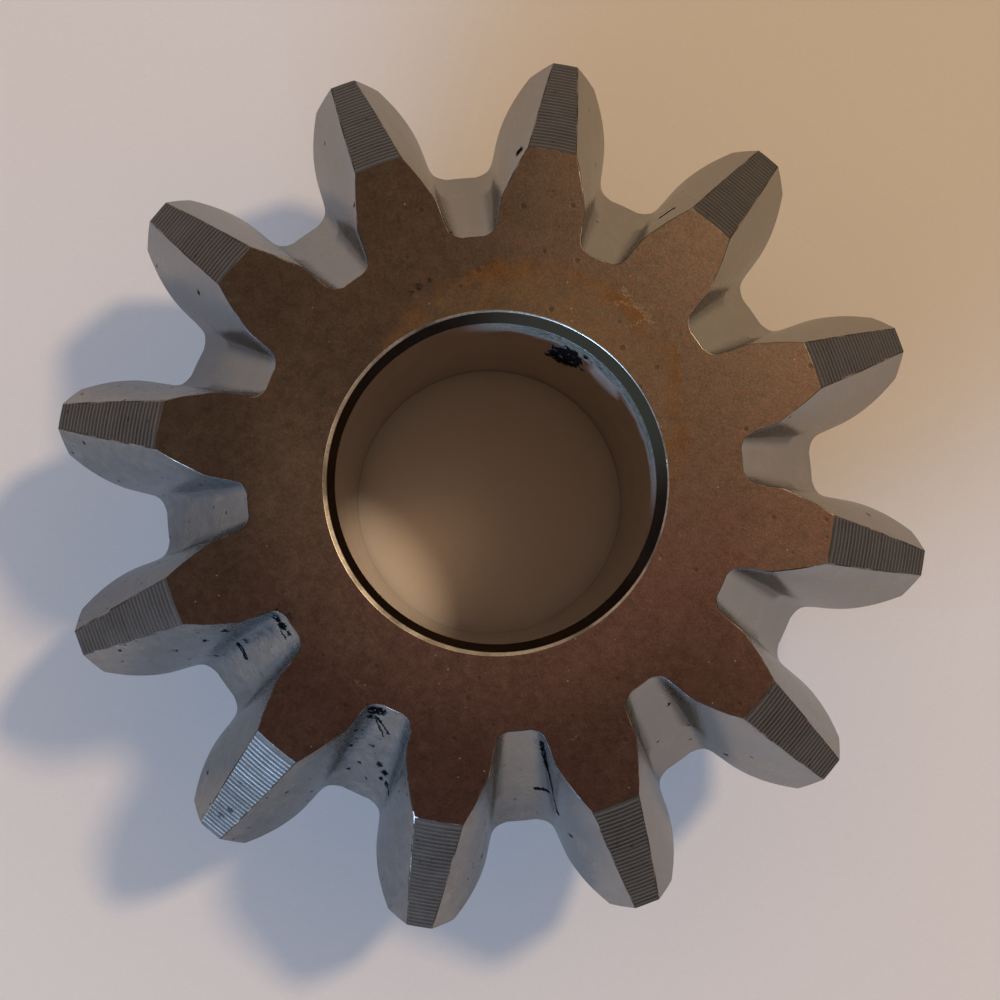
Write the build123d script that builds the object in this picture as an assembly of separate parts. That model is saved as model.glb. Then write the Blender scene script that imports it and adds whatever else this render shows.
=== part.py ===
from build123d import *
import os
from math import cos, sin, pi, radians

# Straight bevel gear with a plain running bore, small (toe) end up.
# Millimetres. Z is the bore axis. Z = 0 is the flat rest land on the back of
# the hub, and the flat toe face is at Z = FACE_Z.

# ---- driving dimensions ---------------------------------------------------
TEETH = 12
FACE_Z = 25.0            # height of the flat toe face above the rest land
OUTER_R = 29.3           # turned outside cylinder at the heel of the teeth
LAND_R = 21.1            # where the face cone meets the flat toe face
TIP_Z = 16.55            # face cone meets the outside cylinder
KNEE_Z = 12.7            # outside cylinder meets the back cone
BACK_LAND_R = 13.3       # back cone meets the rest land
BORE_R = 10.0            # running bore
CHAMFER = 0.7            # 45 degree chamfer at both ends of the bore
APEX_Z = 58.0            # pitch cone apex, where the shafts of the pair meet
ROOT_SLOPE = 0.4655      # radius of the tooth root per mm below the apex

# Tooth form: half-angle of a tooth, in degrees, against the slope
# (radius per mm below the apex). Heel and toe forms differ a little because
# the teeth are thinned towards the toe.
SLOPES = [0.4780, 0.4870, 0.4980, 0.5150, 0.5350, 0.5575,
          0.5800, 0.6025, 0.6250, 0.6460, 0.6700, 0.7070, 0.7250]
HEEL_FORM = [10.05, 9.62, 9.36, 9.05, 8.66, 8.08,
             7.35, 6.52, 5.58, 4.66, 3.62, 1.92, 1.05]
TOE_FORM = [10.00, 9.58, 9.30, 8.94, 8.42, 7.66,
            6.80, 5.84, 4.82, 3.87, 2.88, 1.28, 0.45]
FILLET_FOOT = 12.45      # half-angle at which the root arc starts
CUT_TOP_Z = 26.5         # planes between which a tooth space is generated
CUT_LOW_Z = 3.0
TOE_PLANE_Z = 25.0       # heights at which the two tooth forms are exact
HEEL_PLANE_Z = 10.0


def polar(r, deg, z):
    a = radians(deg)
    return (r * cos(a), r * sin(a), z)


def form_at(z):
    """Tooth half-angles at height z, straight-line between toe and heel."""
    t = (TOE_PLANE_Z - z) / (TOE_PLANE_Z - HEEL_PLANE_Z)
    return [a + (b - a) * t for a, b in zip(TOE_FORM, HEEL_FORM)]


def space_section(z):
    """Closed outline of one tooth space at height z, about the +X axis."""
    h = APEX_Z - z
    half = 180.0 / TEETH
    flank = [(s * h, half - a) for s, a in zip(SLOPES, form_at(z))]
    foot_r, foot_a = ROOT_SLOPE * h, half - FILLET_FOOT
    low = [polar(foot_r, foot_a, z),
           polar((ROOT_SLOPE + 0.0030) * h, half - 11.45, z),
           polar((ROOT_SLOPE + 0.0073) * h, half - 10.62, z)]
    up = low + [polar(r, a, z) for r, a in flank]
    down = [(x, -y, zz) for x, y, zz in up]
    far = 0.86 * h
    top_out = polar(far, flank[-1][1], z)
    low_out = (top_out[0], -top_out[1], z)
    root = ThreePointArc(down[0], (foot_r, 0, z), up[0])
    edges = [root,
             Spline(*up),
             Line(up[-1], top_out),
             Line(top_out, low_out),
             Line(low_out, down[-1]),
             Spline(*down[::-1])]
    return Face(Wire(edges))


# ---- turned blank ---------------------------------------------------------
blank_points = [
    (BORE_R, CHAMFER),
    (BORE_R, FACE_Z - CHAMFER),
    (BORE_R + CHAMFER, FACE_Z),
    (LAND_R, FACE_Z),
    (OUTER_R, TIP_Z),
    (OUTER_R, KNEE_Z),
    (BACK_LAND_R, 0.0),
    (BORE_R + CHAMFER, 0.0),
]
with BuildPart() as blank_builder:
    with BuildSketch(Plane.XZ):
        with BuildLine():
            Polyline(*blank_points, close=True)
        make_face()
    revolve(axis=Axis.Z)
gear = blank_builder.part

# ---- tooth spaces, centred on 0, 30, 60 ... degrees ------------------------
cutter = loft([space_section(CUT_LOW_Z), space_section(CUT_TOP_Z)], ruled=True)
for k in range(TEETH):
    gear = gear - Rot(0, 0, k * 360.0 / TEETH) * cutter

gear = gear.solids()[0] if len(gear.solids()) == 1 else gear
gear.label = "bevel_gear"

os.makedirs("parts", exist_ok=True)
export_step(gear, "parts/bevel_gear.step")
print("volume mm3", gear.volume, "box", gear.bounding_box())
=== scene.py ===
import math

import bmesh
import bpy
import numpy as np
from mathutils import Matrix, Vector


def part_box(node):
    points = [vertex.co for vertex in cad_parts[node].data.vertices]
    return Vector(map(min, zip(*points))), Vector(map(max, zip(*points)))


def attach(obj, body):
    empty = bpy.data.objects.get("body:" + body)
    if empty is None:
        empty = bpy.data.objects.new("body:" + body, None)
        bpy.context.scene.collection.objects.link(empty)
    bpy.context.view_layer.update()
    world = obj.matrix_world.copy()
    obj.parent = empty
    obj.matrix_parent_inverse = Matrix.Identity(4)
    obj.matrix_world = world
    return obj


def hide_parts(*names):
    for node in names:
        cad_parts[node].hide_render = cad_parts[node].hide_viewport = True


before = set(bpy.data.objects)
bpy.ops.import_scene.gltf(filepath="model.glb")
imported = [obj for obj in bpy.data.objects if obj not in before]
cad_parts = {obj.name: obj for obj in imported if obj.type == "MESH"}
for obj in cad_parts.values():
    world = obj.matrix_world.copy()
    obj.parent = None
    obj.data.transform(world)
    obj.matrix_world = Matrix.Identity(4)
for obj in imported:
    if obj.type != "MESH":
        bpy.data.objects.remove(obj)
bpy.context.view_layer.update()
node_lo, node_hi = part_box("bevel_gear")

# ---------------------------------------------------------------------------
# The gear's shape in millimetres, as the CAD part states it. Z = 0 is the rest
# land on the back of the hub, and the pitch apex is above the toe face.
# ---------------------------------------------------------------------------
TEETH = 12
FACE_Z = (node_hi.z - node_lo.z) * 1000.0
OUTER_R = 29.3
LAND_R = 21.1
TIP_Z = 16.55
KNEE_Z = 12.7
BACK_LAND_R = 13.3
BORE_R = 10.0
CHAMFER = 0.7
APEX_Z = 58.0
ROOT = 0.4655
SLOPES = np.array([0.4655, 0.4685, 0.4728, 0.4780, 0.4870, 0.4980, 0.5150, 0.5350, 0.5575,
                   0.5800, 0.6025, 0.6250, 0.6460, 0.6700, 0.7070, 0.7250])
HEEL_FORM = np.array([12.45, 11.45, 10.62, 10.05, 9.62, 9.36, 9.05, 8.66, 8.08,
                      7.35, 6.52, 5.58, 4.66, 3.62, 1.92, 1.05])
TOE_FORM = np.array([12.45, 11.45, 10.62, 10.00, 9.58, 9.30, 8.94, 8.42, 7.66,
                     6.80, 5.84, 4.82, 3.87, 2.88, 1.28, 0.45])
TOE_PLANE_Z, HEEL_PLANE_Z = 25.0, 10.0
STEP = 2 * math.pi / TEETH
FIRST = math.radians(15.0)
CONE = (OUTER_R - LAND_R) / (FACE_Z - TIP_Z)        # face cone, radius per mm down
BACK = KNEE_Z / (OUTER_R - BACK_LAND_R)             # back cone, height per mm out
rng = np.random.default_rng(12)


def smooth_curve(x, y, q):
    """Monotone cubic through the points, so that the tooth form has no flats."""
    d = np.diff(y) / np.diff(x)
    m = np.empty_like(y)
    m[1:-1] = np.where(d[:-1] * d[1:] > 0, 2 * d[:-1] * d[1:] / (d[:-1] + d[1:] + 1e-12), 0)
    m[0], m[-1] = d[0], d[-1]
    i = np.clip(np.searchsorted(x, q) - 1, 0, len(x) - 2)
    h = x[i + 1] - x[i]
    t = (q - x[i]) / h
    return ((2 * t**3 - 3 * t**2 + 1) * y[i] + (t**3 - 2 * t**2 + t) * h * m[i]
            + (-2 * t**3 + 3 * t**2) * y[i + 1] + (t**3 - t**2) * h * m[i + 1])


def half_angle(rho, z):
    """Half-angle of a tooth in radians, at slope rho and height z."""
    rho = np.asarray(rho, float)
    t = (TOE_PLANE_Z - np.asarray(z, float)) / (TOE_PLANE_Z - HEEL_PLANE_Z)
    toe = smooth_curve(SLOPES, TOE_FORM, rho)
    heel = smooth_curve(SLOPES, HEEL_FORM, rho)
    return np.radians(toe + (heel - toe) * t)


def back_z(rho):
    """Height where the ray of slope rho meets the back cone."""
    return (APEX_Z * rho - BACK_LAND_R) / (1 / BACK + rho)


# rows up the tooth side: root corner, fillet, flank
FILLET = np.array([0.4655, 0.4662, 0.4674, 0.4690, 0.4710, 0.4735, 0.4765, 0.4810, 0.4870])
N_FLANK = 26
KNEE_ROW = 17
RHO_LAND = LAND_R / (APEX_Z - FACE_Z)
RHO_KNEE = OUTER_R / (APEX_Z - KNEE_Z)
RHO_TIP = OUTER_R / (APEX_Z - TIP_Z)
EDGE = 0.24

# the land carries turned grooves, so it is divided finely; the flank below it takes every sixth column
land_len = math.hypot(OUTER_R - LAND_R, FACE_Z - TIP_Z)
GROOVES, PER = 27, 6
MARGIN = 0.36
PITCH = (land_len - 2 * MARGIN) / GROOVES
lines = MARGIN + PITCH * np.arange(GROOVES * PER + 1) / PER
VF = np.concatenate([[0, EDGE], lines, [land_len - EDGE, land_len]]) / land_len
coarse = np.array([0, 1] + [2 + PER * j for j in range(GROOVES + 1)] + [len(VF) - 2, len(VF) - 1])
V = VF[coarse]
NV = len(V)

front_rho = np.concatenate([
    np.linspace(FILLET[-1], RHO_LAND - 0.010, N_FLANK), [RHO_LAND]])
back_part = np.linspace(FILLET[-1], RHO_KNEE - 0.0065, KNEE_ROW)
k_rho = np.concatenate([back_part, [RHO_KNEE]])
k_z = back_z(k_rho)
k_z[-1] = KNEE_Z
od_z = np.linspace(KNEE_Z + 0.30, TIP_Z - 0.28, N_FLANK - KNEE_ROW - 1)
od_z = np.concatenate([od_z, [TIP_Z]])
k_rho = np.concatenate([k_rho, OUTER_R / (APEX_Z - od_z)])
k_z = np.concatenate([k_z, od_z])
k_rho[-1], k_z[-1] = RHO_TIP, TIP_Z
front_z = np.full(N_FLANK + 1, FACE_Z)
u = np.linspace(0, 1, N_FLANK + 1)
u[-2] = 1 - 0.026


def top_line(v):
    z = FACE_Z + (TIP_Z - FACE_Z) * v
    return (LAND_R + (OUTER_R - LAND_R) * v) / (APEX_Z - z), z


top_rho, top_z = top_line(V)
bot_rho = np.full(NV, FILLET[-1])
bot_z = FACE_Z + (back_z(FILLET[-1]) - FACE_Z) * V
U, VV = np.meshgrid(u, V, indexing="ij")


def coons(front, back, bottom, top):
    c = ((1 - U) * bottom[None, :] + U * top[None, :] + (1 - VV) * front[:, None] + VV * back[:, None]
         - ((1 - U) * (1 - VV) * front[0] + (1 - U) * VV * back[0] + U * (1 - VV) * front[-1] + U * VV * back[-1]))
    return c


def side_angle(rho, z):
    """Half-angle with the crease: the steep foot of the flank is deepest at the toe and runs out towards the heel."""
    s = np.clip((z - 13.2) / 11.8, 0, 1)
    crease = 0.487 + 0.056 * s
    return half_angle(rho, z) + np.radians(0.26 * np.clip(s * 3, 0, 1) * np.clip(1 - np.abs(rho - crease) / 0.028, 0, 1))


flank_rho = coons(front_rho, k_rho, bot_rho, top_rho)
flank_z = coons(front_z, k_z, bot_z, top_z)
fil_rho = np.repeat(FILLET[:-1, None], NV, 1)
fil_z = FACE_Z + (back_z(FILLET[:-1])[:, None] - FACE_Z) * V[None, :]
side_rho = np.vstack([fil_rho, flank_rho])          # rows from the root up to the land edge
side_z = np.vstack([fil_z, flank_z])
side_a = side_angle(side_rho, side_z)
NS = len(side_rho)
KNEE_AT = len(FILLET) - 1 + KNEE_ROW
rim_rho, rim_z = top_line(VF)
rim_rho[coarse], rim_z[coarse] = side_rho[-1], side_z[-1]
rim_a = side_angle(rim_rho, rim_z)
rim_a[coarse] = side_a[-1]
rim_r = rim_rho * (APEX_Z - rim_z)
rim_r[coarse] = side_rho[-1] * (APEX_Z - side_z[-1])

verts, faces, tags, polys, poly_tags = [], [], [], [], []
count = 0


def patch(r, a, z, tag, flip=False):
    """Adds a grid of quads: arrays of radius, angle and height."""
    global count
    n, m = r.shape
    verts.append(np.stack([r * np.cos(a), r * np.sin(a), z], -1).reshape(-1, 3))
    i = np.arange(n * m).reshape(n, m) + count
    q = np.stack([i[:-1, :-1], i[:-1, 1:], i[1:, 1:], i[1:, :-1]], -1).reshape(-1, 4)
    faces.append(q[:, ::-1] if flip else q)
    tags.append(np.full(len(q), tag))
    count += n * m


def comb(r_low, a_low, z_low, r_top, a_top, z_top, tag, flip=False):
    """Adds one row of faces between a coarse line and the fine line along the land."""
    global count
    n, m = len(r_low), len(r_top)
    verts.append(np.stack([r_low * np.cos(a_low), r_low * np.sin(a_low), z_low], -1))
    verts.append(np.stack([r_top * np.cos(a_top), r_top * np.sin(a_top), z_top], -1))
    for j in range(n - 1):
        ring = [count + j, count + j + 1] + [count + n + i for i in range(coarse[j + 1], coarse[j] - 1, -1)]
        polys.append(np.array(ring[::-1] if flip else ring))
        poly_tags.append(tag)
    count += n + m


FRONT, FLANK, LAND, RIM, HEEL, REST, BORE, BEVEL_F, BREAK = range(9)
NW = 12


def across(half, r):
    """Angles across a tooth, from -half to +half, with a narrow strip at each side."""
    half = np.asarray(half, float)
    r = np.asarray(r, float)
    strip = np.minimum(EDGE / r, 0.24 * half)
    t = np.linspace(-1, 1, NW - 1)
    inner = (half - strip)[..., None] * t
    return np.concatenate([-half[..., None], inner, half[..., None]], -1)


arc = np.linspace(0, 1, 5)
ring_front = np.linspace(0, 1, 9)
for k in range(TEETH):
    mid = FIRST + k * STEP
    r_side = side_rho * (APEX_Z - side_z)
    for sign, flip in ((1, False), (-1, True)):
        patch(r_side[:-1], mid + sign * side_a[:-1], side_z[:-1], FLANK, flip)
        comb(r_side[-2], mid + sign * side_a[-2], side_z[-2], rim_r, mid + sign * rim_a, rim_z, FLANK, flip)
    # root between this tooth and the next
    a0 = side_a[0][None, :] + (STEP - 2 * side_a[0])[None, :] * arc[:, None]
    patch(np.repeat(r_side[:1], 5, 0), mid + a0, np.repeat(side_z[:1], 5, 0), FLANK, flip=True)
    # top land
    w = across(rim_a, rim_r)
    patch(np.repeat(rim_r[:, None], w.shape[1], 1), mid + w, np.repeat(rim_z[:, None], w.shape[1], 1), LAND, flip=True)
    # outside cylinder at the heel
    s = slice(KNEE_AT, NS)
    w = across(side_a[s, -1], np.full(NS - KNEE_AT, OUTER_R))
    patch(np.full(w.shape, OUTER_R), mid + w, np.repeat(side_z[s, -1][:, None], w.shape[1], 1), RIM)
    # heel end of the tooth, on the back cone
    s = slice(0, KNEE_AT + 1)
    r_b = r_side[s, -1]
    w = across(side_a[s, -1], r_b)
    patch(np.repeat(r_b[:, None], w.shape[1], 1), mid + w, np.repeat(side_z[s, -1][:, None], w.shape[1], 1), HEEL)
    # flat toe face of the tooth
    r_f = r_side[:, 0]
    w = across(side_a[:, 0], r_f)
    patch(np.repeat(r_f[:, None], w.shape[1], 1), mid + w, np.full(w.shape, FACE_Z), FRONT, flip=True)
    # ring of angles round this sector at the root radius
    w = across(side_a[:1, 0], r_f[:1])[0]
    ang_f = np.concatenate([w, (side_a[0, 0] + (STEP - 2 * side_a[0, 0]) * arc)[1:]])
    w = across(side_a[:1, -1], r_b[:1])[0]
    ang_b = np.concatenate([w, (side_a[0, -1] + (STEP - 2 * side_a[0, -1]) * arc)[1:]])

    def ring(r0, z0, r1, z1, t, a_in, a_out, tag):
        a = a_in[None, :] + (a_out - a_in)[None, :] * t[:, None]
        r = r0 + (r1 - r0) * t[:, None] + 0 * a
        z = z0 + (z1 - z0) * t[:, None] + 0 * a
        patch(r, mid + a, z, tag, flip=True)

    even = -side_a[0, 0] + STEP * np.linspace(0, 1, len(ang_f))
    # the edge break at the mouth of the bore is a narrow facet, wider on one side
    wide = 0.15 + 0.11 * np.cos(mid + even - math.radians(208))
    wide = wide[None, :]
    br, bz = BORE_R + CHAMFER - wide * 0.92, FACE_Z - wide * 0.55
    ring(BORE_R + CHAMFER, FACE_Z, r_f[0], FACE_Z, ring_front, even, ang_f, FRONT)
    ring(br, bz, BORE_R + CHAMFER, FACE_Z, np.array([0, .5, 1]), even, even, BREAK)
    ring(BORE_R, FACE_Z - CHAMFER, br, bz, np.array([0, .3, .7, 1]), even, even, BEVEL_F)
    ring(BORE_R, CHAMFER, BORE_R, FACE_Z - CHAMFER, np.array([0, .012, .1, .2, .3, .4, .5, .6, .7, .8, .9, .988, 1]), even, even, BORE)
    ring(BORE_R + CHAMFER, 0, BORE_R, CHAMFER, np.array([0, .3, .7, 1]), even, even, BEVEL_F)
    ring(BACK_LAND_R, 0, BORE_R + CHAMFER, 0, np.array([0, .1, .4, .7, .9, 1]), even, even, REST)
    t = np.concatenate([[0, 0.022], np.linspace(0.1, 1, 10)])
    ring(r_b[0], side_z[0, -1], BACK_LAND_R, 0, t, ang_b, even, HEEL)

P = np.concatenate(verts)
F = np.concatenate(faces)
T = np.concatenate(tags)
key = np.round(P * 1e4).astype(np.int64)
_, first, inv = np.unique(key, axis=0, return_index=True, return_inverse=True)
inv = inv.reshape(-1)
P = P[first]
F = inv[F]
keep = np.array([len(set(f)) == 4 for f in F.tolist()])
F, T = F[keep], T[keep]
polys = [inv[p] for p in polys]
sizes = np.concatenate([np.full(len(F), 4), [len(p) for p in polys]]).astype(np.int64)
loops = np.concatenate([F.ravel()] + polys)
starts = np.concatenate([[0], np.cumsum(sizes)[:-1]])
T = np.concatenate([T, poly_tags])


# ---------------------------------------------------------------------------
# Turned grooves on the lands, and small unevenness that a forging has
# ---------------------------------------------------------------------------
def wave(p, seed, scale, n=10):
    """Smooth random field, about -1 to 1, over points p in millimetres."""
    g = np.random.default_rng(seed)
    d = g.normal(size=(n, 3))
    d /= np.linalg.norm(d, axis=1)[:, None]
    f = g.uniform(0.6, 1.6, n) * 2 * math.pi / scale
    ph = g.uniform(0, 2 * math.pi, n)
    return np.sin(p @ (d * f[:, None]).T + ph).sum(1) / math.sqrt(n)


r = np.hypot(P[:, 0], P[:, 1])
radial = P[:, :2] / r[:, None]
down = (r - LAND_R) / (OUTER_R - LAND_R)
on_land = (np.abs(P[:, 2] - (FACE_Z - (r - LAND_R) / CONE)) < 1e-4) & (r > LAND_R + 0.3) & (r < OUTER_R - 0.3)
s = down * land_len
line = (s - MARGIN) / PITCH
which = np.floor(line).astype(int)
depth = 0.0200 * (1 + 0.10 * np.random.default_rng(5).normal(size=64))[np.clip(which, 0, 63)]
frac = line - which
on_land &= (line > 0) & (line < GROOVES)
cut = np.where(on_land, -4 * depth * frac * (1 - frac), 0.0)
nrm = np.array([math.cos(math.atan(CONE)), math.sin(math.atan(CONE))])
P[:, 0] += cut * nrm[0] * radial[:, 0]
P[:, 1] += cut * nrm[0] * radial[:, 1]
P[:, 2] += cut * nrm[1]

# the forged tooth sides aren't quite even: a few hundredths, inwards only
on_side = np.zeros(len(P), bool)
on_side[loops[np.repeat(T == FLANK, sizes)]] = True
on_other = np.zeros(len(P), bool)
on_other[loops[np.repeat(T != FLANK, sizes)]] = True
free = on_side & ~on_other
dent = 0.018 * (wave(P, 3, 5.0) - 1.2) + 0.008 * (wave(P, 4, 1.7) - 1.2)
P[free, 2] += np.minimum(dent[free], 0)

mesh = bpy.data.meshes.new("gear_mesh")
mesh.vertices.add(len(P))
mesh.vertices.foreach_set("co", (P / 1000.0).astype(np.float32).ravel())
mesh.loops.add(len(loops))
mesh.loops.foreach_set("vertex_index", loops.astype(np.int32))
mesh.polygons.add(len(sizes))
mesh.polygons.foreach_set("loop_start", starts.astype(np.int32))
mesh.polygons.foreach_set("material_index", T.astype(np.int32))
mesh.update(calc_edges=True)
mesh.validate()
bm = bmesh.new()
bm.from_mesh(mesh)
bmesh.ops.recalc_face_normals(bm, faces=bm.faces)
bm.to_mesh(mesh)
bm.free()

# sharp edges: where two kinds of surface meet
ne = len(mesh.edges)
ev = np.empty(ne * 2, np.int32)
mesh.edges.foreach_get("vertices", ev)
ev = np.sort(ev.reshape(-1, 2), 1).astype(np.int64)
ekey = ev[:, 0] * len(P) + ev[:, 1]
order = np.argsort(ekey)
after = np.arange(len(loops)) + 1
after[starts + sizes - 1] = starts
le = np.sort(np.stack([loops, loops[after]], -1).astype(np.int64), 1)
lk = le[:, 0] * len(P) + le[:, 1]
lt = np.repeat(T, sizes)
idx = order[np.searchsorted(ekey[order], lk)]
tmin = np.full(ne, 99)
tmax = np.full(ne, -1)
np.minimum.at(tmin, idx, lt)
np.maximum.at(tmax, idx, lt)
sharp = tmin != tmax
# the edge break is uneven: nearly sharp in places, rubbed wider in others
em = P[ev].mean(1)
rub = np.clip(0.62 + 0.30 * wave(em, 21, 3.2) + 0.16 * wave(em, 22, 0.9), 0.25, 1.25)
weight = np.where(sharp, rub, 0.0)
weight[sharp & (tmin == FRONT) & (tmax == LAND)] *= 0.7
weight[sharp & ((tmax == BEVEL_F) | (tmax == BREAK))] = 0.35
attr = mesh.attributes.new("bevel_weight_edge", "FLOAT", "EDGE")
attr.data.foreach_set("value", np.clip(weight, 0, 1).astype(np.float32))
mesh.polygons.foreach_set("use_smooth", np.ones(len(sizes), bool))

gear = bpy.data.objects.new("gear_body", mesh)
bpy.context.scene.collection.objects.link(gear)
bev = gear.modifiers.new("edge_break", "BEVEL")
bev.limit_method = "WEIGHT"
bev.width = 0.00008
bev.segments = 2
bev.use_clamp_overlap = False
bev.harden_normals = True
bev.material = BREAK


# ---------------------------------------------------------------------------
# Materials: all in the gear's own coordinates, in millimetres
# ---------------------------------------------------------------------------
SQUEEZE = (1.0, 1.0, 0.3)


class Mat:
    """A procedural material: short names for the nodes it is made of."""

    def __init__(self, name, metal, spec=0.5, edge=1.0):
        self.m = bpy.data.materials.new(name)
        self.m.use_nodes = True
        self.t = self.m.node_tree
        self.t.nodes.clear()
        self.bsdf = self.t.nodes.new("ShaderNodeBsdfPrincipled")
        out = self.t.nodes.new("ShaderNodeOutputMaterial")
        self.t.links.new(self.bsdf.outputs[0], out.inputs[0])
        self.bsdf.inputs["Metallic"].default_value = metal
        self.bsdf.inputs["Specular IOR Level"].default_value = spec
        self.bsdf.inputs["Specular Tint"].default_value = (edge, edge, edge, 1)
        tc = self.t.nodes.new("ShaderNodeTexCoord")
        self.p = self.vec("SCALE", tc.outputs["Object"], scale=1000.0)
        x, y, z = self.split(self.p)
        self.x, self.y, self.z = x, y, z
        self.r = self.vec("LENGTH", self.vec("MULTIPLY", self.p, (1, 1, 0)), out="Value")

    def put(self, socket, value):
        if isinstance(value, bpy.types.NodeSocket):
            self.t.links.new(value, socket)
        elif isinstance(value, (tuple, list)) and socket.type == "RGBA" and len(value) == 3:
            socket.default_value = (*value, 1)
        else:
            socket.default_value = value

    def vec(self, op, a, b=None, scale=None, out="Vector"):
        n = self.t.nodes.new("ShaderNodeVectorMath")
        n.operation = op
        self.put(n.inputs[0], a)
        if b is not None:
            self.put(n.inputs[1], b)
        if scale is not None:
            self.put(n.inputs["Scale"], scale)
        return n.outputs[out]

    def split(self, v):
        n = self.t.nodes.new("ShaderNodeSeparateXYZ")
        self.put(n.inputs[0], v)
        return n.outputs

    def join(self, x, y, z):
        n = self.t.nodes.new("ShaderNodeCombineXYZ")
        for s, v in zip(n.inputs, (x, y, z)):
            self.put(s, v)
        return n.outputs[0]

    def math(self, op, a, b=None, c=None, clamp=False):
        n = self.t.nodes.new("ShaderNodeMath")
        n.operation = op
        n.use_clamp = clamp
        for s, v in zip(n.inputs, (a, b, c)):
            if v is not None:
                self.put(s, v)
        return n.outputs[0]

    def step(self, v, a, b, c=0.0, d=1.0):
        """Smooth step of v: c up to a, d from b on."""
        n = self.t.nodes.new("ShaderNodeMapRange")
        n.interpolation_type = "SMOOTHSTEP"
        for s, w in zip(n.inputs, (v, a, b, c, d)):
            self.put(s, w)
        return n.outputs[0]

    def noise(self, scale, detail=2.0, rough=0.5, distort=0.0, at=None, shift=0.0):
        n = self.t.nodes.new("ShaderNodeTexNoise")
        p = self.p if at is None else at
        if shift:
            p = self.vec("ADD", p, (shift, -shift * 0.7, shift * 0.4))
        self.put(n.inputs["Vector"], p)
        n.inputs["Scale"].default_value = scale
        n.inputs["Detail"].default_value = detail
        n.inputs["Roughness"].default_value = rough
        n.inputs["Distortion"].default_value = distort
        return n.outputs[0]

    def cells(self, scale, at=None, shift=0.0):
        """Distance to the nearest of scattered points, and a random number for that point."""
        n = self.t.nodes.new("ShaderNodeTexVoronoi")
        p = self.p if at is None else at
        if shift:
            p = self.vec("ADD", p, (shift, shift * 0.6, -shift * 0.3))
        self.put(n.inputs["Vector"], p)
        n.inputs["Scale"].default_value = scale
        return n.outputs["Distance"], self.split(n.outputs["Color"])[0]

    def mix(self, f, a, b):
        n = self.t.nodes.new("ShaderNodeMix")
        n.data_type = "RGBA"
        self.put(n.inputs[0], f)
        self.put(n.inputs[6], a)
        self.put(n.inputs[7], b)
        return n.outputs[2]

    def shade(self, color, f):
        """Colour times a number."""
        return self.vec("SCALE", color, scale=f)

    def bump(self, height, microns, normal=None):
        n = self.t.nodes.new("ShaderNodeBump")
        n.inputs["Strength"].default_value = 1.0
        n.inputs["Distance"].default_value = microns * 1e-6
        self.put(n.inputs["Height"], height)
        if normal is not None:
            self.put(n.inputs["Normal"], normal)
        return n.outputs[0]

    def dots(self, points, wobble=0.10, soft=0.35):
        """Small irregular marks: 1 on a mark. Points are (x, y, z, radius); the marks are three times as tall as wide."""
        jag = self.vec("SCALE", self.vec("SUBTRACT", self.noisev(3.4), (0.5, 0.5, 0.5)), scale=wobble * 6)
        jag = self.vec("ADD", jag, self.vec("SCALE", self.vec("SUBTRACT", self.noisev(9.0), (0.5, 0.5, 0.5)), scale=wobble * 7))
        at = self.vec("MULTIPLY", self.vec("ADD", self.p, jag), SQUEEZE)
        total = None
        for x, y, z, size in points:
            d = self.vec("DISTANCE", at, (x, y, z * SQUEEZE[2]), out="Value")
            f = self.step(d, size * (1 - soft), size, 1.0, 0.0)
            total = f if total is None else self.math("MAXIMUM", total, f)
        return total

    def dashes(self, lines, wobble=0.05, soft=0.5):
        """Narrow marks: 1 on a mark. Lines are (start, end, half-width)."""
        jag = self.vec("SCALE", self.vec("SUBTRACT", self.noisev(2.6), (0.5, 0.5, 0.5)), scale=wobble * 6)
        jag = self.vec("ADD", jag, self.vec("SCALE", self.vec("SUBTRACT", self.noisev(8.0), (0.5, 0.5, 0.5)), scale=wobble * 5))
        at = self.vec("MULTIPLY", self.vec("ADD", self.p, jag), SQUEEZE)
        total = None
        for a, b, size in lines:
            a, b = Vector(a) * Vector(SQUEEZE), Vector(b) * Vector(SQUEEZE)
            along = b - a
            pa = self.vec("SUBTRACT", at, tuple(a))
            h = self.math("MULTIPLY", self.vec("DOT_PRODUCT", pa, tuple(along), out="Value"), 1 / along.length_squared, clamp=True)
            d = self.vec("LENGTH", self.vec("SUBTRACT", pa, self.vec("SCALE", tuple(along), scale=h)), out="Value")
            f = self.step(d, size * (1 - soft), size, 1.0, 0.0)
            total = f if total is None else self.math("MAXIMUM", total, f)
        return total

    def facing(self, azimuth):
        """Cosine of the angle round the axis from this azimuth: 1 on that side of the gear, -1 on the other."""
        a = math.radians(azimuth)
        d = self.vec("DOT_PRODUCT", self.p, (math.cos(a), math.sin(a), 0.0), out="Value")
        return self.math("DIVIDE", d, self.r)

    def noisev(self, scale, at=None):
        n = self.t.nodes.new("ShaderNodeTexNoise")
        self.put(n.inputs["Vector"], self.p if at is None else at)
        n.inputs["Scale"].default_value = scale
        n.inputs["Detail"].default_value = 2.0
        return n.outputs["Color"]

    def done(self, color, rough, normal=None):
        self.put(self.bsdf.inputs["Base Color"], color)
        self.put(self.bsdf.inputs["Roughness"], rough)
        if normal is not None:
            self.put(self.bsdf.inputs["Normal"], normal)
        return self.m


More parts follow.
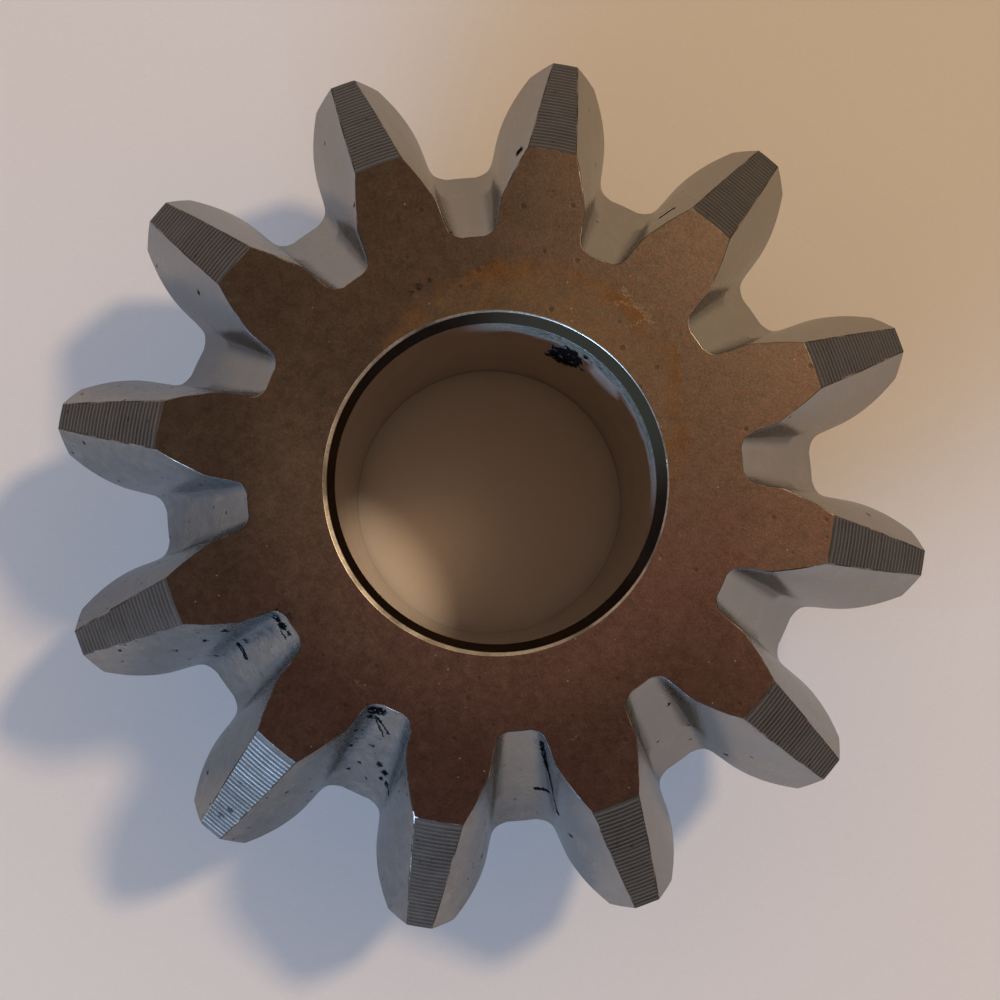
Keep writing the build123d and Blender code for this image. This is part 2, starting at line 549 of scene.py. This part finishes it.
def toe_face():
    """Oil-browned steel: mottled, fine grained, with an orange stain creeping out of the bore on one side."""
    k = Mat("toe_face", 0.88)
    fine = k.noise(8.5, 3.0, 0.7)
    patch_ = k.noise(1.5, 3.0, 0.65, 0.4)
    grain = k.math("ADD", k.math("MULTIPLY", k.math("SUBTRACT", fine, 0.5), 1.15), k.math("MULTIPLY", k.math("SUBTRACT", patch_, 0.5), 0.42))
    # a slightly redder, darker brown on one side: partly the steel's tint, partly painted shade
    low = k.math("MULTIPLY_ADD", k.facing(-85.0), 9.0, k.math("MULTIPLY", k.math("SUBTRACT", k.noise(0.2, 2.0, 0.5, shift=7.0), 0.5), 9.0))
    c = k.mix(k.step(low, -2.0, 7.5), (0.138, 0.098, 0.070), (0.142, 0.078, 0.061))
    c = k.mix(k.step(k.noise(2.1, 2.0, 0.5, shift=3.0), 0.5, 0.75, 0.0, 0.7), c, (0.165, 0.086, 0.062))
    # darker towards the ends of the teeth and on one side, paler towards the outline on the lamp's side: partly wear,
    # partly painted shade and painted light by side
    painted_lit_side = k.step(k.facing(18.0), 0.25, 0.88)
    dull_and_painted_shade = k.math("MULTIPLY", k.step(k.r, 11.5, 17.5), 0.40)
    dull_and_painted_shade = k.math("MAXIMUM", dull_and_painted_shade, k.math("MULTIPLY", k.step(k.facing(112.0), 0.45, 0.95), 0.34))
    dull_and_painted_shade = k.math("MULTIPLY", dull_and_painted_shade, k.math("SUBTRACT", 1.0, painted_lit_side))
    painted_light_lift = k.math("MULTIPLY", k.math("MULTIPLY", painted_lit_side, k.step(k.r, 14.0, 19.0)), 0.12)
    c = k.shade(c, k.math("ADD", k.math("SUBTRACT", 1.0, dull_and_painted_shade), painted_light_lift))
    c = k.mix(k.step(k.noise(0.45, 3.0, 0.6, 0.6, shift=31.0), 0.52, 0.75, 0.0, 0.22), c, (0.155, 0.120, 0.080))
    # the stain: a crescent between the bore and a wandering tide line
    warp = k.math("MULTIPLY", k.math("SUBTRACT", k.noise(0.55, 3.0, 0.6, shift=11.0), 0.5), 2.1)
    d = k.vec("LENGTH", k.vec("SUBTRACT", k.vec("MULTIPLY", k.p, (1, 1, 0)), (2.2, 3.6, 0.0)), out="Value")
    d = k.math("ADD", d, warp)
    inside = k.step(d, 9.3, 10.15, 1.0, 0.0)
    tide = k.math("MULTIPLY", k.step(d, 8.5, 9.55), k.step(d, 9.85, 10.25, 1.0, 0.0))
    blotch = k.step(k.noise(0.62, 4.0, 0.6, 0.5, shift=5.0), 0.36, 0.62)
    c = k.mix(k.math("MULTIPLY", inside, k.math("MULTIPLY_ADD", blotch, 0.34, 0.08)), c, (0.185, 0.112, 0.046))
    c = k.mix(k.math("MULTIPLY", tide, k.step(k.noise(0.33, 2.0, 0.5, shift=19.0), 0.40, 0.62, 0.20, 0.75)), c, (0.150, 0.072, 0.024))
    # fine grain and mottling over the whole face
    c = k.shade(c, k.math("MULTIPLY_ADD", grain, 1.0, 1.0))
    cd, pick = k.cells(0.95, shift=4.0)
    pit = k.math("MULTIPLY", k.step(k.math("SUBTRACT", cd, k.math("MULTIPLY", pick, 0.10)), 0.02, 0.12, 1.0, 0.0), k.step(pick, 0.72, 0.74))
    c = k.mix(k.math("MULTIPLY", pit, 0.45), c, (0.035, 0.024, 0.018))
    gd, gpick = k.cells(1.25, shift=15.0)
    glint = k.math("MULTIPLY", k.step(gd, 0.030, 0.095, 1.0, 0.0), k.step(gpick, 0.66, 0.70))
    c = k.mix(k.math("MULTIPLY", glint, 0.55), c, (0.50, 0.42, 0.32))
    spots = k.dots([(-3.66, 12.57, 25, 0.28), (-4.19, 12.24, 25, 0.20), (-2.9, 12.9, 25, 0.18), (-13.5, -7.0, 25, 0.30),
                    (-14.1, -6.7, 25, 0.24), (-8.95, -13.1, 25, 0.42), (-8.3, -13.15, 25, 0.30), (-9.3, -13.45, 25, 0.22)])
    c = k.mix(k.math("MULTIPLY", spots, k.step(fine, 0.36, 0.60, 0.25, 0.85)), c, (0.012, 0.010, 0.009))
    scuff = k.dashes([((9.0, 11.2, 25), (10.6, 9.0, 25), 0.20), ((9.1, 8.9, 25), (10.5, 9.4, 25), 0.16), ((8.3, 10.6, 25), (9.3, 10.2, 25), 0.13),
                      ((-9.8, -11.3, 25), (-9.2, -11.8, 25), 0.10), ((3.0, -16.2, 25), (3.6, -16.0, 25), 0.09)], wobble=0.12)
    scuff = k.math("MULTIPLY", scuff, k.step(fine, 0.40, 0.60))
    c = k.mix(k.math("MULTIPLY", scuff, 0.50), c, (0.30, 0.23, 0.16))
    rough = k.math("MULTIPLY_ADD", patch_, 0.20, 0.36)
    rough = k.math("ADD", rough, k.math("MULTIPLY", inside, 0.06))
    n = k.bump(k.math("SUBTRACT", k.math("MULTIPLY_ADD", fine, 0.6, k.math("MULTIPLY", patch_, 0.5)), k.math("MULTIPLY", pit, 0.5)), 15)
    return k.done(c, rough, n)


def grey_steel(name, base, specks=True, metal=0.92, rough=0.25):
    """Forged and cleaned steel, for the tooth sides and the roots."""
    k = Mat(name, metal, 0.0, 0.70)
    fine = k.noise(4.0, 3.0, 0.6)
    cloud = k.noise(0.32, 3.0, 0.55, 0.3, shift=9.0)
    lay = k.noise(1.6, 2.0, 0.5, at=k.vec("MULTIPLY", k.p, (1.0, 1.0, 0.22)))
    tone = k.math("ADD", 1.0, k.math("ADD", k.math("MULTIPLY", k.math("SUBTRACT", fine, 0.5), 0.16),
                                     k.math("ADD", k.math("MULTIPLY", k.math("SUBTRACT", cloud, 0.5), 0.30),
                                            k.math("MULTIPLY", k.math("SUBTRACT", lay, 0.5), 0.14))))
    c = k.shade(k.mix(k.step(cloud, 0.35, 0.7), base, tuple(v * w for v, w in zip(base, (1.03, 0.985, 0.93)))), tone)
    # painted light and shade: the tooth sides are lighter towards the lamp's side and darker on the far side
    c = k.shade(c, k.math("MULTIPLY_ADD", k.facing(30.0), 0.20, 0.94))
    ro = k.math("MULTIPLY_ADD", k.math("SUBTRACT", cloud, 0.5), 0.14, rough)
    ro = k.math("ADD", ro, k.math("MULTIPLY", k.math("SUBTRACT", fine, 0.5), 0.10))
    height = k.math("MULTIPLY_ADD", fine, 0.35, k.math("MULTIPLY", cloud, 0.9))
    if specks:
        # dark film on the steep foot of the flank up to the crease, a line along the crease, and smears down the foot:
        # partly dirt, partly painted shade in the crease
        rho = k.math("DIVIDE", k.r, k.math("SUBTRACT", APEX_Z, k.z))
        s = k.math("MULTIPLY", k.math("SUBTRACT", k.z, 13.2), 1 / 11.8, clamp=True)
        edge = k.math("MULTIPLY_ADD", s, 0.056, 0.487)
        foot_dirt_and_shade = k.math("MULTIPLY", k.step(rho, 0.4655, 0.4730), k.step(k.math("SUBTRACT", rho, edge), -0.004, 0.001, 1.0, 0.0))
        foot_dirt_and_shade = k.math("MULTIPLY", foot_dirt_and_shade, k.step(s, 0.02, 0.14))
        crease_dirt_and_shade = k.math("MULTIPLY", k.step(k.math("ABSOLUTE", k.math("SUBTRACT", rho, edge)), 0.001, 0.007, 1.0, 0.0), k.step(s, 0.15, 0.5))
        smear_and_shade = k.dashes([((-9.16, -13.78, 22.65), (-12.54, -17.82, 12.70), 0.85), ((-7.08, -15.20, 22.94), (-8.78, -19.33, 15.53), 0.75),
                          ((-14.85, -7.73, 21.98), (-20.14, -9.39, 11.60), 0.80), ((1.33, -16.34, 23.42), (2.0, -20.07, 18.0), 0.60)], 0.12, 1.0)
        film_and_shade = k.math("MAXIMUM", k.math("MULTIPLY", foot_dirt_and_shade, 0.55), k.math("MULTIPLY", crease_dirt_and_shade, 0.30))
        film_and_shade = k.math("MAXIMUM", film_and_shade, k.math("MULTIPLY", smear_and_shade, k.step(k.noise(1.6, 3.0, 0.6, shift=17.0), 0.30, 0.60, 0.55, 0.95)))
        c = k.mix(film_and_shade, c, (0.065, 0.063, 0.060))
        # pits, most of them on one side of the gear
        side = k.step(k.vec("DOT_PRODUCT", k.p, (-0.83, -0.56, 0.0), out="Value"), 6.0, 17.0)
        worn = k.math("MULTIPLY", side, k.step(k.noise(0.28, 2.0, 0.5, shift=41.0), 0.34, 0.54))
        smut = k.noise(1.3, 4.0, 0.68, 0.5, at=k.vec("MULTIPLY", k.p, (1.0, 1.0, 0.45)), shift=27.0)
        c = k.shade(c, k.math("MULTIPLY_ADD", k.math("MULTIPLY", k.math("SUBTRACT", smut, 0.5), side), 1.1, 1.0))
        cd, pick = k.cells(1.9, at=k.vec("MULTIPLY", k.p, (1.0, 1.0, 0.5)), shift=2.0)
        size = k.math("MULTIPLY", k.math("POWER", pick, 4.0), 0.22)
        pit = k.step(k.math("SUBTRACT", cd, size), 0.02, 0.09, 1.0, 0.0)
        pit = k.math("MULTIPLY", pit, k.math("MULTIPLY", k.step(pick, 0.52, 0.56), worn))
        cd2, pick2 = k.cells(0.33, shift=8.0)
        lone = k.math("MULTIPLY", k.step(cd2, 0.035, 0.065, 1.0, 0.0), k.step(pick2, 0.45, 0.47))
        pit = k.math("MAXIMUM", pit, lone)
        c = k.mix(k.math("MULTIPLY", pit, 0.85), c, (0.022, 0.022, 0.024))
        dirt = k.dots([(3.51, 21.0, 23.19, 0.34), (3.3, 20.75, 23.6, 0.22), (-1.36, 15.82, 24.5, 0.18), (-7.16, 18.11, 24.6, 0.16), (-18.05, 14.49, 19.36, 0.17),
                       (-21.74, 17.84, 12.9, 0.15), (-26.69, 5.53, 17.28, 0.16), (-20.99, -17.12, 13.98, 0.18), (2.28, -21.93, 15.15, 0.26), (2.96, -23.41, 15.96, 0.20),
                       (-14.34, -7.11, 23.88, 0.36), (-14.10, -7.57, 23.56, 0.34), (-13.95, -7.64, 23.83, 0.30), (-13.68, -8.10, 23.84, 0.22),
                       (-8.87, -13.34, 23.83, 0.50), (-8.37, -13.44, 24.0, 0.40), (-9.16, -13.78, 22.65, 0.22),
                       (-9.31, -17.58, 15.22, 0.34), (-9.06, -18.22, 14.55, 0.34), (-9.45, -18.76, 13.03, 0.22), (-9.06, -19.17, 13.38, 0.32), (-8.91, -19.57, 14.58, 0.30),
                       (-10.99, -15.96, 17.08, 0.20), (-10.64, -17.44, 14.05, 0.18), (-11.64, -17.98, 12.04, 0.17), (-10.50, -18.82, 11.63, 0.16), (-9.49, -16.02, 17.97, 0.17), (-10.33, -14.74, 20.38, 0.15),
                       (-20.14, -9.39, 11.60, 0.16), (-17.25, -8.43, 17.17, 0.20), (10.02, -15.12, 19.29, 0.15), (14.32, -19.46, 12.8, 0.18), (24.96, -3.98, 16.53, 0.19),
                       (-21.67, -8.62, 18.41, 0.18), (-25.22, -8.28, 18.42, 0.15), (-17.71, -7.56, 22.7, 0.26), (-19.36, -8.11, 20.43, 0.18)], 0.07, 0.25)
        dirt = k.math("MAXIMUM", dirt, k.dashes([
            ((0.99, -20.29, 14.41), (1.81, -20.47, 15.22), 0.20), ((12.42, 16.49, 20.49), (13.24, 16.88, 21.09), 0.17),
            ((-17.92, -8.68, 15.76), (-17.66, -9.62, 14.79), 0.24), ((1.33, -16.34, 23.42), (1.64, -18.18, 20.06), 0.20),
            ((1.64, -18.18, 20.06), (1.97, -20.07, 18.0), 0.15), ((1.97, -20.07, 18.0), (2.28, -21.93, 15.15), 0.10),
            ((-8.78, -13.80, 22.82), (-8.21, -15.07, 21.10), 0.12), ((-8.9, -13.9, 22.6), (-8.59, -15.31, 20.27), 0.09),
            ((-14.3, -7.9, 23.2), (-14.0, -8.4, 22.9), 0.12), ((-26.9, 9.6, 15.3), (-27.4, 8.2, 14.3), 0.09), ((24.9, 5.3, 14.5), (26.0, 6.6, 14.2), 0.09)], 0.05, 0.3))
        stained = k.math("MAXIMUM", dirt, k.math("MAXIMUM", k.math("MULTIPLY", pit, 0.8), k.math("MULTIPLY", film_and_shade, 0.45)))
        k.put(k.bsdf.inputs["Metallic"], k.math("MULTIPLY_ADD", stained, -metal, metal))
        # the dirt is broken into crumbs; the grey specks in it are painted glints
        crumb_and_glint = k.noise(5.5, 3.0, 0.7, at=k.vec("MULTIPLY", k.p, (1.0, 1.0, 0.4)), shift=33.0)
        dirt = k.math("MULTIPLY", dirt, k.step(crumb_and_glint, 0.30, 0.42))
        c = k.mix(dirt, c, k.mix(k.step(crumb_and_glint, 0.66, 0.72), (0.004, 0.003, 0.003), (0.20, 0.21, 0.21)))
        dirty = k.math("MAXIMUM", k.math("MULTIPLY", pit, 0.6), dirt)
        ro = k.math("MULTIPLY_ADD", dirty, 0.3, ro)
        height = k.math("MULTIPLY_ADD", dirty, -0.35, height)
    return k.done(c, ro, k.bump(height, 16))


def turned(name, base, dark, rough, pitch, along, metal=0.9, wear=0.0, stain=False):
    """Turned steel: fine lines round the axis. along is a function of the material giving the distance across the lines."""
    k = Mat(name, metal, 0.0 if stain else 0.5)
    s = along(k)
    wob = k.math("MULTIPLY", k.math("SUBTRACT", k.noise(0.25, 2.0, 0.5), 0.5), 0.03)
    lines_ = k.noise(1.0 / pitch, 2.0, 0.6, at=k.join(k.math("ADD", s, wob), 0.3, 0.1))
    fine = k.noise(5.0, 2.0, 0.6)
    cloud = k.noise(0.4, 3.0, 0.6, 0.4, shift=5.0)
    c = k.mix(k.step(k.math("MULTIPLY_ADD", cloud, 0.7, k.math("MULTIPLY", lines_, 0.3)), 0.34, 0.66), dark, base)
    c = k.shade(c, k.math("MULTIPLY_ADD", k.math("SUBTRACT", fine, 0.5), 0.30, 1.0))
    cd, pick = k.cells(1.1, shift=12.0)
    pit = k.math("MULTIPLY", k.step(cd, 0.08, 0.16, 1.0, 0.0), k.step(pick, 0.80, 0.82))
    c = k.mix(k.math("MULTIPLY", pit, 0.8), c, (0.02, 0.018, 0.017))
    if wear:
        c = k.mix(k.math("MULTIPLY", k.step(k.noise(0.9, 3.0, 0.6, shift=33.0), 0.60, 0.72), wear), c, (0.5, 0.47, 0.43))
    if stain:
        c = k.mix(k.math("MULTIPLY", k.step(k.facing(42.0), 0.55, 0.90), 0.85), c, (0.052, 0.044, 0.027))
    ro = k.math("MULTIPLY_ADD", cloud, 0.20, rough - 0.10)
    n = k.bump(k.math("MULTIPLY_ADD", lines_, 0.8, k.math("MULTIPLY", fine, 0.25)), 7)
    return k.done(c, ro, n)


def land():
    """Top lands: the grooves are in the mesh; the groove bottoms are darker and rougher than the crests."""
    k = Mat("land", 1.0)
    s = k.math("MULTIPLY", k.math("SUBTRACT", k.r, LAND_R), land_len / (OUTER_R - LAND_R))
    phase = k.math("FRACT", k.math("DIVIDE", k.math("SUBTRACT", s, MARGIN), PITCH))
    crest = k.math("ABSOLUTE", k.math("SUBTRACT", phase, 0.5))
    fine = k.noise(5.0, 3.0, 0.6)
    cloud = k.noise(0.5, 3.0, 0.6, 0.3, shift=6.0)
    c = k.mix(k.step(crest, 0.15, 0.45), (0.078, 0.073, 0.068), (0.118, 0.112, 0.105))
    c = k.shade(c, k.math("ADD", k.math("MULTIPLY", k.math("SUBTRACT", fine, 0.5), 0.35), k.math("MULTIPLY_ADD", k.math("SUBTRACT", cloud, 0.5), 0.7, 1.0)))
    cd, pick = k.cells(1.2, shift=21.0)
    pit = k.math("MULTIPLY", k.step(cd, 0.10, 0.2, 1.0, 0.0), k.step(pick, 0.78, 0.80))
    c = k.mix(k.math("MULTIPLY", pit, 0.7), c, (0.02, 0.02, 0.02))
    c = k.mix(k.dots([(-18.9, -19.2, 18.9, 0.26), (-19.4, -18.6, 18.6, 0.20), (-18.2, -19.9, 18.5, 0.17), (-19.7, -19.5, 17.9, 0.20)]), c, (0.02, 0.02, 0.02))
    ro = k.math("MULTIPLY_ADD", cloud, 0.12, 0.20)
    ro = k.math("ADD", ro, k.step(crest, 0.1, 0.4, 0.10, 0.0))
    n = k.bump(fine, 5)
    return k.done(c, ro, n)


def bore():
    """Ground and worn bright by a shaft: faint lines round it, a lump of old dirt on one side, some staining near the mouth."""
    k = Mat("bore", 1.0, 0.0)
    lines_ = k.noise(6.0, 3.0, 0.6, at=k.join(0.2, 0.1, k.z))
    cloud = k.noise(0.30, 3.0, 0.6, 0.5, shift=3.0)
    fine = k.noise(3.0, 3.0, 0.6)
    # a dull band of old oil next to the mouth on one side, and a scuffed, rougher patch below it
    wander = k.math("MULTIPLY", k.math("SUBTRACT", k.noise(0.7, 3.0, 0.6, shift=23.0), 0.5), 2.6)
    band = k.math("MULTIPLY", k.step(k.math("ADD", k.z, wander), 20.6, 22.6), k.step(k.facing(40.0), 0.50, 0.90))
    flat = k.vec("MULTIPLY", k.vec("SUBTRACT", k.p, (7.81, 6.25, 19.6)), (0.92, 0.92, 0.48))
    spot = k.step(k.math("ADD", k.vec("LENGTH", flat, out="Value"), k.math("MULTIPLY", wander, 0.16)), 0.75, 2.0, 1.0, 0.0)
    c = k.mix(k.step(cloud, 0.38, 0.66), (0.60, 0.50, 0.43), (0.52, 0.43, 0.37))
    c = k.shade(c, k.math("MULTIPLY_ADD", k.math("SUBTRACT", lines_, 0.5), 0.30, 1.0))
    c = k.mix(k.math("MULTIPLY", band, k.step(fine, 0.30, 0.65, 0.75, 1.0)), c, (0.085, 0.080, 0.060))
    # the lump of old dirt: in a space squeezed along Z
    flatp = k.vec("MULTIPLY", k.p, (1.0, 1.0, 0.30))
    jag = k.vec("SCALE", k.vec("SUBTRACT", k.noisev(1.1, at=flatp), (0.5, 0.5, 0.5)), scale=1.5)
    jag = k.vec("ADD", jag, k.vec("SCALE", k.vec("SUBTRACT", k.noisev(3.6, at=flatp), (0.5, 0.5, 0.5)), scale=0.8))
    q = k.vec("LENGTH", k.vec("SUBTRACT", k.vec("ADD", flatp, jag), (5.62, 8.27, 18.2 * 0.30)), out="Value")
    lump = k.step(q, 1.10, 1.28, 1.0, 0.0)
    lump = k.math("MAXIMUM", lump, k.dots([(6.51, 7.59, 22.1, 0.24), (6.85, 7.28, 21.9, 0.15), (6.66, 7.46, 17.0, 0.22), (4.6, 8.9, 15.4, 0.26), (7.4, 6.7, 22.6, 0.12)]))
    glint = k.step(k.noise(3.4, 3.0, 0.65, at=flatp, shift=9.0), 0.60, 0.70)
    c = k.mix(lump, c, k.mix(glint, (0.008, 0.007, 0.008), (0.26, 0.255, 0.25)))
    k.put(k.bsdf.inputs["Metallic"], k.math("SUBTRACT", 1.0, k.math("MULTIPLY", k.math("MAXIMUM", lump, band), 0.94)))
    # painted shade: the foot of the bore wall is darkened where it meets the floor
    ring = k.step(k.z, 0.9, 2.8, 1.0, 0.0)
    c = k.mix(k.math("MULTIPLY", ring, 0.8), c, (0.07, 0.05, 0.04))
    ro = k.math("MULTIPLY_ADD", cloud, 0.08, 0.05)
    ro = k.math("MAXIMUM", ro, k.math("MAXIMUM", k.math("MULTIPLY", band, 0.55), k.math("MULTIPLY", spot, 0.72)))
    ro = k.math("MAXIMUM", ro, k.math("MULTIPLY", lump, 0.38))
    n = k.bump(k.math("MULTIPLY_ADD", lines_, 0.12, k.math("MULTIPLY", k.math("MULTIPLY", lump, fine), 9.0)), 22)
    return k.done(c, ro, n)


def edge_break():
    """Rubbed edges: bare bright metal in some places, dark in others."""
    k = Mat("edge_break", 0.95, 0.5, 0.5)
    a = k.noise(0.42, 3.0, 0.6, 0.2, shift=14.0)
    fine = k.noise(3.2, 3.0, 0.65)
    c = k.mix(k.step(a, 0.46, 0.66), (0.085, 0.068, 0.055), (0.34, 0.305, 0.26))
    c = k.shade(c, k.math("MULTIPLY_ADD", k.math("SUBTRACT", fine, 0.5), 1.1, 1.0))
    c = k.mix(k.step(k.vec("DISTANCE", k.p, (-10.3, -3.35, 24.8), out="Value"), 0.25, 0.5, 1.0, 0.0), c, (0.08, 0.07, 0.04))
    # the break round the mouth of the bore is rubbed bare, more in some places than in others
    mouth = k.math("MULTIPLY", k.step(k.r, 10.75, 10.95, 1.0, 0.0), k.step(k.z, 24.0, 24.5))
    # a small chip at a tooth corner, painted near-white: bare metal with a painted glint
    chip_and_glint = k.dots([(-6.95, -19.86, 24.9, 0.30), (-7.05, -20.2, 24.7, 0.24)], 0.05, 0.3)
    c = k.mix(chip_and_glint, c, (0.95, 0.96, 1.0))
    lit = k.step(k.noise(0.30, 2.0, 0.5, shift=51.0), 0.34, 0.58, 0.35, 1.0)
    c = k.mix(mouth, c, k.mix(lit, (0.045, 0.035, 0.026), (0.05, 0.04, 0.03)))
    c = k.mix(k.math("MULTIPLY", mouth, k.math("MULTIPLY", lit, 0.9)), c, k.shade(k.mix(0.0, (0.56, 0.52, 0.46), (0.5, 0.5, 0.5)), k.math("MULTIPLY_ADD", k.math("SUBTRACT", fine, 0.5), 0.8, 1.0)))
    ro = k.math("MULTIPLY_ADD", fine, 0.30, 0.25)
    return k.done(c, ro, k.bump(fine, 10))


def paper():
    k = Mat("paper", 0.0, spec=0.3)
    fibre = k.noise(2.1, 3.0, 0.62, 0.3)
    fine = k.noise(6.5, 2.0, 0.6)
    broad = k.noise(0.03, 2.0, 0.5)
    tone = k.math("ADD", 1.0, k.math("ADD", k.math("MULTIPLY", k.math("SUBTRACT", fibre, 0.5), 0.055),
                                     k.math("ADD", k.math("MULTIPLY", k.math("SUBTRACT", fine, 0.5), 0.085), k.math("MULTIPLY", k.math("SUBTRACT", broad, 0.5), 0.05))))
    return k.done(k.shade((0.77, 0.74, 0.71), tone), k.math("MULTIPLY_ADD", fibre, 0.1, 0.82), k.bump(k.math("MULTIPLY_ADD", fibre, 0.7, k.math("MULTIPLY", fine, 0.4)), 9))


def radius(k):
    return k.r


def height_(k):
    return k.z


made = [toe_face(), grey_steel("flank", (0.352, 0.345, 0.332)), land(),
        turned("rim", (0.30, 0.285, 0.265), (0.14, 0.125, 0.11), 0.42, 0.30, height_, wear=0.5),
        turned("heel", (0.27, 0.245, 0.22), (0.13, 0.105, 0.088), 0.45, 0.34, radius, wear=0.25),
        turned("rest", (0.50, 0.475, 0.44), (0.30, 0.27, 0.24), 0.30, 0.22, radius, wear=0.4),
        bore(),
        # the chamfer is matte, near-black and not metallic: painted shade standing for the dark reflection in the
        # polished chamfer; the paler part on one side is a stain
        turned("chamfer", (0.016, 0.010, 0.007), (0.009, 0.006, 0.004), 0.60, 0.18, height_, metal=0.0, stain=True),
        edge_break()]
for m in made:
    mesh.materials.append(m)

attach(gear, "root")
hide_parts("bevel_gear")

# ---------------------------------------------------------------------------
# Floor, lights and camera
# ---------------------------------------------------------------------------
scene = bpy.context.scene
scene.view_settings.view_transform = "Standard"
fm = bpy.data.meshes.new("floor_mesh")
fm.from_pydata([(-.6, -.6, 0), (.6, -.6, 0), (.6, .6, 0), (-.6, .6, 0)], [], [(0, 1, 2, 3)])
floor = bpy.data.objects.new("floor", fm)
floor.location.z = node_lo.z - 0.00002
scene.collection.objects.link(floor)
fm.materials.append(paper())


def area(name, direction, distance, size, energy, color, size_y=None):
    l = bpy.data.lights.new(name, "AREA")
    l.energy, l.color, l.size = energy, color, size
    if size_y:
        l.shape, l.size_y = "RECTANGLE", size_y
    else:
        l.shape = "DISK"
    o = bpy.data.objects.new(name, l)
    d = Vector(direction).normalized()
    o.location = Vector((0, 0, 0.012)) + d * distance
    o.rotation_mode = "QUATERNION"
    o.rotation_quaternion = d.to_track_quat("Z", "Y")
    o.visible_camera = False
    scene.collection.objects.link(o)
    return o


def aim(azimuth, elevation):
    a, e = math.radians(azimuth), math.radians(elevation)
    return (math.cos(a) * math.cos(e), math.sin(a) * math.cos(e), math.sin(e))


area("lamp", (0.499, 0.296, 0.815), 0.9, 0.10, 3.14, (1.0, 0.724, 0.459))
area("window", aim(-135, 16), 0.8, 0.40, 8.9, (0.372, 0.598, 0.95), 0.28)

# the room: dark overhead, warm and brighter at the sides
world = bpy.data.worlds.new("world")
scene.world = world
world.use_nodes = True
wt = world.node_tree
back = wt.nodes["Background"]
tc = wt.nodes.new("ShaderNodeTexCoord")
sep = wt.nodes.new("ShaderNodeSeparateXYZ")
ramp = wt.nodes.new("ShaderNodeValToRGB")
wt.links.new(tc.outputs["Generated"], sep.inputs[0])
wt.links.new(sep.outputs[2], ramp.inputs[0])
wt.links.new(ramp.outputs[0], back.inputs[0])
ramp.color_ramp.interpolation = "EASE"
lean = wt.nodes.new("ShaderNodeVectorMath")      # the room is brighter towards the lamp's side than opposite it
lean.operation = "DOT_PRODUCT"
lean.inputs[1].default_value = (0.321, 0.733, 0.0)
side = wt.nodes.new("ShaderNodeMath")
side.operation = "ADD"
side.inputs[1].default_value = 1.0
wt.links.new(tc.outputs["Generated"], lean.inputs[0])
wt.links.new(lean.outputs["Value"], side.inputs[0])
wt.links.new(side.outputs[0], back.inputs[1])
stops = [(0.0, (.09, .07, .058)), (0.30, (.22, .165, .12)), (0.60, (.49, .36, .25)), (0.83, (.35, .25, .17)), (0.95, (.06, .035, .026))]
while len(ramp.color_ramp.elements) < len(stops):
    ramp.color_ramp.elements.new(0.5)
for e, (pos, col) in zip(ramp.color_ramp.elements, stops):
    e.position, e.color = pos, (*col, 1)

SCALE = 21.1
TURN = math.radians(15.0 + 90.0) - 1.9261
wx, wy = -0.0502, 0.0235
w = Vector((wx, wy, 0.0))
R = np.array([[1, 0, 0], [0, -1, 0], [0, 0, -1]], float) @ np.array(Matrix.Rotation(w.length, 3, w.normalized()))
t = np.array([-0.0113, -0.0521, 4.8332]) * SCALE
R = R @ np.array(Matrix.Rotation(-TURN, 3, "Z"))
centre = -R.T @ t + np.array([0, 0, FACE_Z])
cam_data = bpy.data.cameras.new("camera")
cam = bpy.data.objects.new("camera", cam_data)
bpy.context.scene.collection.objects.link(cam)
bpy.context.scene.camera = cam
cam_data.sensor_width = 36.0
cam_data.lens = 1650.0 / 1000.0 * 36.0
cam_data.clip_start = 0.005
B = R.T @ np.diag([1.0, -1.0, -1.0])
cam.matrix_world = Matrix.Translation(Vector(centre / 1000.0)) @ Matrix(B.tolist()).to_4x4()
